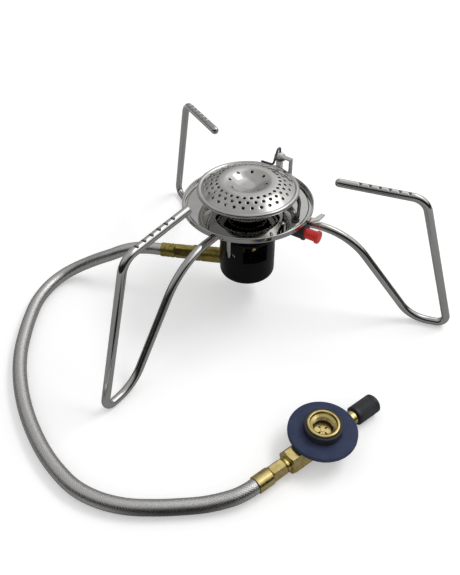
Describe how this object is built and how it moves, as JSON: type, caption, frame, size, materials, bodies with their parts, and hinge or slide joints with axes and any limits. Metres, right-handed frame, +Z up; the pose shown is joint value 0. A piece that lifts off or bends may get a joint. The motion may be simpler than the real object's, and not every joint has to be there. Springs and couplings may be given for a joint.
{
  "type": "remote canister camping stove",
  "caption": "Folding wire-leg camping gas stove with a perforated burner, drip tray, push-button igniter and a braided hose to a threaded canister valve.",
  "frame": {"origin": "on the ground under the burner's axis", "axes": "+Z up along the burner's axis, +X through the socket of the right leg, +Y to the back"},
  "size_m": [0.2703, 0.2853, 0.0965],
  "materials": {
    "polished_steel": "polished stainless steel",
    "pressed_steel": "pressed steel sheet",
    "leg_steel": "bright drawn stainless wire",
    "screw_steel": "plated steel",
    "black_casting": "glossy black enamel",
    "dull_brass": "dull tarnished brass",
    "bright_brass": "turned brass",
    "black_rubber": "matt",
    "black_plastic": "satin",
    "disc_plastic": "matt dark navy",
    "red_plastic": "gloss",
    "white_ceramic": "glazed ceramic",
    "lead_sleeve": "satin",
    "tinted_steel": "steel darkened by the flame",
    "braid": "braided stainless wire"
  },
  "bodies": {
    "burner": {"burner_cap": "polished_steel", "burner_bowl": "polished_steel", "mixing_tube": "pressed_steel", "drip_tray": "polished_steel", "tray_nut": "pressed_steel", "hub_cover_plate": "black_casting", "plate_screws": "screw_steel", "hub_casting": "black_casting", "pin_screws": "screw_steel", "jet_block": "bright_brass", "block_screw": "screw_steel", "jet": "bright_brass", "inlet_tube": "dull_brass", "inlet_oring": "black_rubber", "igniter_body": "black_plastic", "igniter_spring": "screw_steel", "igniter_hammer": "screw_steel", "piezo_crystal": "white_ceramic", "igniter_bracket": "pressed_steel", "bracket_rivets": "screw_steel", "ignition_lead": "lead_sleeve", "lead_grommet": "black_rubber", "electrode_bracket": "pressed_steel", "electrode_rivet": "screw_steel", "electrode_clip": "pressed_steel", "electrode_insulator": "white_ceramic", "electrode_rod": "tinted_steel", "burner_hose_nut": "dull_brass", "burner_ferrule": "dull_brass", "hose": "braid", "valve_ferrule": "bright_brass", "valve_hose_nut": "bright_brass", "valve_body": "bright_brass", "connector_disc": "disc_plastic", "connector_sleeve": "black_plastic", "connector_ring": "bright_brass", "connector_seal": "black_rubber", "valve_opener": "bright_brass", "spindle_oring": "black_rubber", "gland_nut": "bright_brass"},
    "right_leg": {"right_leg": "leg_steel"},
    "front_left_leg": {"front_left_leg": "leg_steel"},
    "back_left_leg": {"back_left_leg": "leg_steel"},
    "igniter_button": {"igniter_button": "red_plastic"},
    "valve_knob": {"valve_knob": "black_plastic", "valve_spindle": "screw_steel", "knob_screw": "screw_steel"}
  },
  "joints": [
    {"name": "right_leg_swing", "type": "hinge", "parent": "burner", "child": "right_leg", "pos_m": [0.0158, 0, 0.043], "axis": [0, 0, 1], "range_deg": [0, 120]},
    {"name": "front_left_leg_swing", "type": "hinge", "parent": "burner", "child": "front_left_leg", "pos_m": [-0.0079, -0.01368, 0.043], "axis": [0, 0, 1], "range_deg": [-40, 30]},
    {"name": "back_left_leg_swing", "type": "hinge", "parent": "burner", "child": "back_left_leg", "pos_m": [-0.0079, 0.01368, 0.043], "axis": [0, 0, 1], "range_deg": [-12, 30]},
    {"name": "igniter_press", "type": "slide", "parent": "burner", "child": "igniter_button", "axis": [-0.9397, 0.342, 0], "range_m": [0, 0.005], "stiffness_N_per_m": 1500, "springref_m": -0.004, "deforming": ["igniter_spring"]},
    {"name": "valve_knob_turn", "type": "hinge", "parent": "burner", "child": "valve_knob", "pos_m": [0.08697, -0.09007, 0.006], "axis": [0.6293, 0.7771, 0], "range_deg": [0, 540]}
  ]
}
